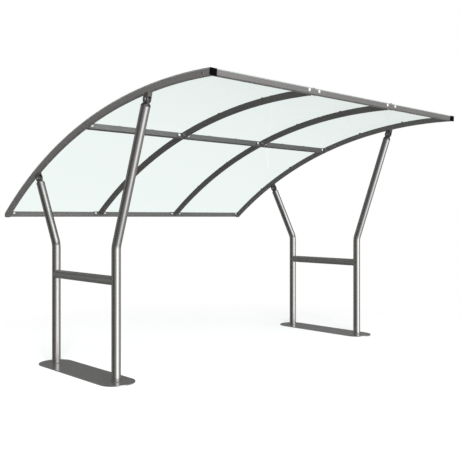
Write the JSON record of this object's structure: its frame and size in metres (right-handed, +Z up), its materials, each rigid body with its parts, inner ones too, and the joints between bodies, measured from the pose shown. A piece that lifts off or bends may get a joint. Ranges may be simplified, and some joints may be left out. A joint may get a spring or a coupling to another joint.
{
  "type": "bicycle shelter",
  "caption": "Free-standing bicycle shelter: two bent-tube side frames on round-ended plates carry a curved, clear roof on arched ribs.",
  "frame": {"origin": "on the ground, under the middle of the whole shelter", "axes": "+X along the shelter to its right side as seen from the open front, +Y to the rear, +Z up"},
  "size_m": [3.565, 3.158, 2.3701],
  "materials": {
    "dark_grey_steel": "semi-gloss dark grey paint",
    "bright_steel": "zinc plated",
    "black_plastic": "moulded, matt",
    "clear_sheet": "clear, faintly green"
  },
  "bodies": {
    "root": {"left_base_plate": "dark_grey_steel", "left_front_corner_cleat": "dark_grey_steel", "left_front_post": "dark_grey_steel", "left_front_tongue": "dark_grey_steel", "left_front_bracket": "dark_grey_steel", "left_front_pivot_pin": "bright_steel", "left_rear_corner_cleat": "dark_grey_steel", "left_rear_post": "dark_grey_steel", "left_rear_tongue": "dark_grey_steel", "left_rear_bracket": "dark_grey_steel", "left_rear_pivot_pin": "bright_steel", "left_cross_rail": "dark_grey_steel", "left_rib_cap": "black_plastic", "right_base_plate": "dark_grey_steel", "right_front_corner_cleat": "dark_grey_steel", "right_front_post": "dark_grey_steel", "right_front_tongue": "dark_grey_steel", "right_front_bracket": "dark_grey_steel", "right_front_pivot_pin": "bright_steel", "right_rear_corner_cleat": "dark_grey_steel", "right_rear_post": "dark_grey_steel", "right_rear_tongue": "dark_grey_steel", "right_rear_bracket": "dark_grey_steel", "right_rear_pivot_pin": "bright_steel", "right_cross_rail": "dark_grey_steel", "right_rib_cap": "black_plastic", "left_end_rib": "dark_grey_steel", "left_inner_rib": "dark_grey_steel", "right_inner_rib": "dark_grey_steel", "right_end_rib": "dark_grey_steel", "left_inner_rib_front_flange": "dark_grey_steel", "left_inner_rib_rear_flange": "dark_grey_steel", "right_inner_rib_front_flange": "dark_grey_steel", "right_inner_rib_rear_flange": "dark_grey_steel", "front_rail": "dark_grey_steel", "rear_rail": "dark_grey_steel", "left_purlin": "dark_grey_steel", "left_purlin_left_cleat": "dark_grey_steel", "left_purlin_right_cleat": "dark_grey_steel", "left_roof_sheet": "clear_sheet", "middle_purlin": "dark_grey_steel", "middle_purlin_left_cleat": "dark_grey_steel", "middle_purlin_right_cleat": "dark_grey_steel", "middle_roof_sheet": "clear_sheet", "right_purlin": "dark_grey_steel", "right_purlin_left_cleat": "dark_grey_steel", "right_purlin_right_cleat": "dark_grey_steel", "right_roof_sheet": "clear_sheet"}
  },
  "joints": []
}
